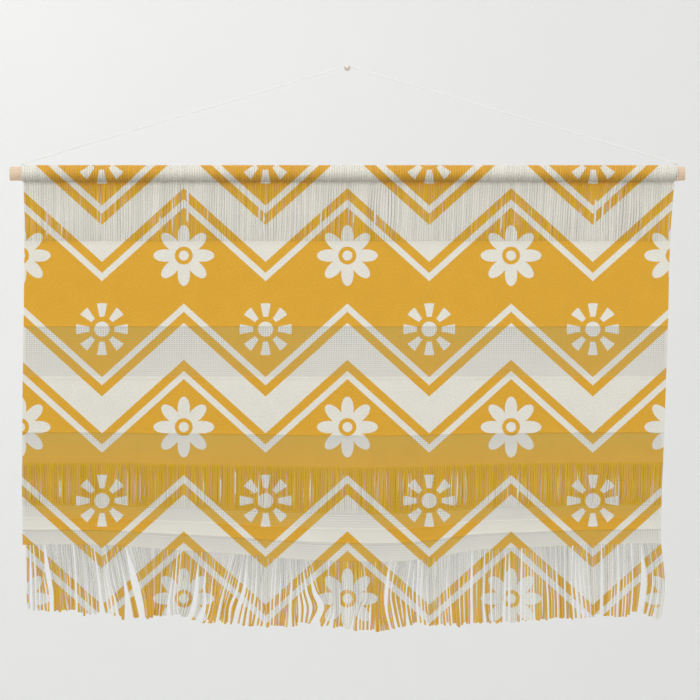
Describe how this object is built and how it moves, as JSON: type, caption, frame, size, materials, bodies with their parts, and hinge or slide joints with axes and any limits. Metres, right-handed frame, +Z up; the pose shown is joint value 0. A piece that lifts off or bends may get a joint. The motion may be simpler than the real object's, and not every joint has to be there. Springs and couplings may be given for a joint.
{
  "type": "textile wall hanging on a wooden rod",
  "caption": "Mustard and cream woven wall hanging with loose warp and open weave bands and a fringe, on a wooden rod hung by a cord from a nail.",
  "frame": {"origin": "centre of the nail's flat back, where it meets the wall", "axes": "+X along the rod, to the viewer's right; +Y out of the back, into the wall; +Z up; the cloth's face looks along -Y"},
  "size_m": [0.622, 0.0168, 0.5218],
  "materials": {
    "rod_wood": "sanded beech, not varnished",
    "woven_cotton": "printed cotton, mustard and cream, matte",
    "fringe_cotton": "loose cotton warp ends, printed on the face, matte",
    "white_cord": "twisted white cotton cord",
    "nail_metal": "satin brass"
  },
  "bodies": {
    "root": {"rod": "rod_wood", "cloth": "woven_cotton", "fringe": "fringe_cotton", "hanging_cord": "white_cord", "cord_tie_left": "white_cord", "cord_tie_right": "white_cord", "nail": "nail_metal"}
  },
  "joints": []
}
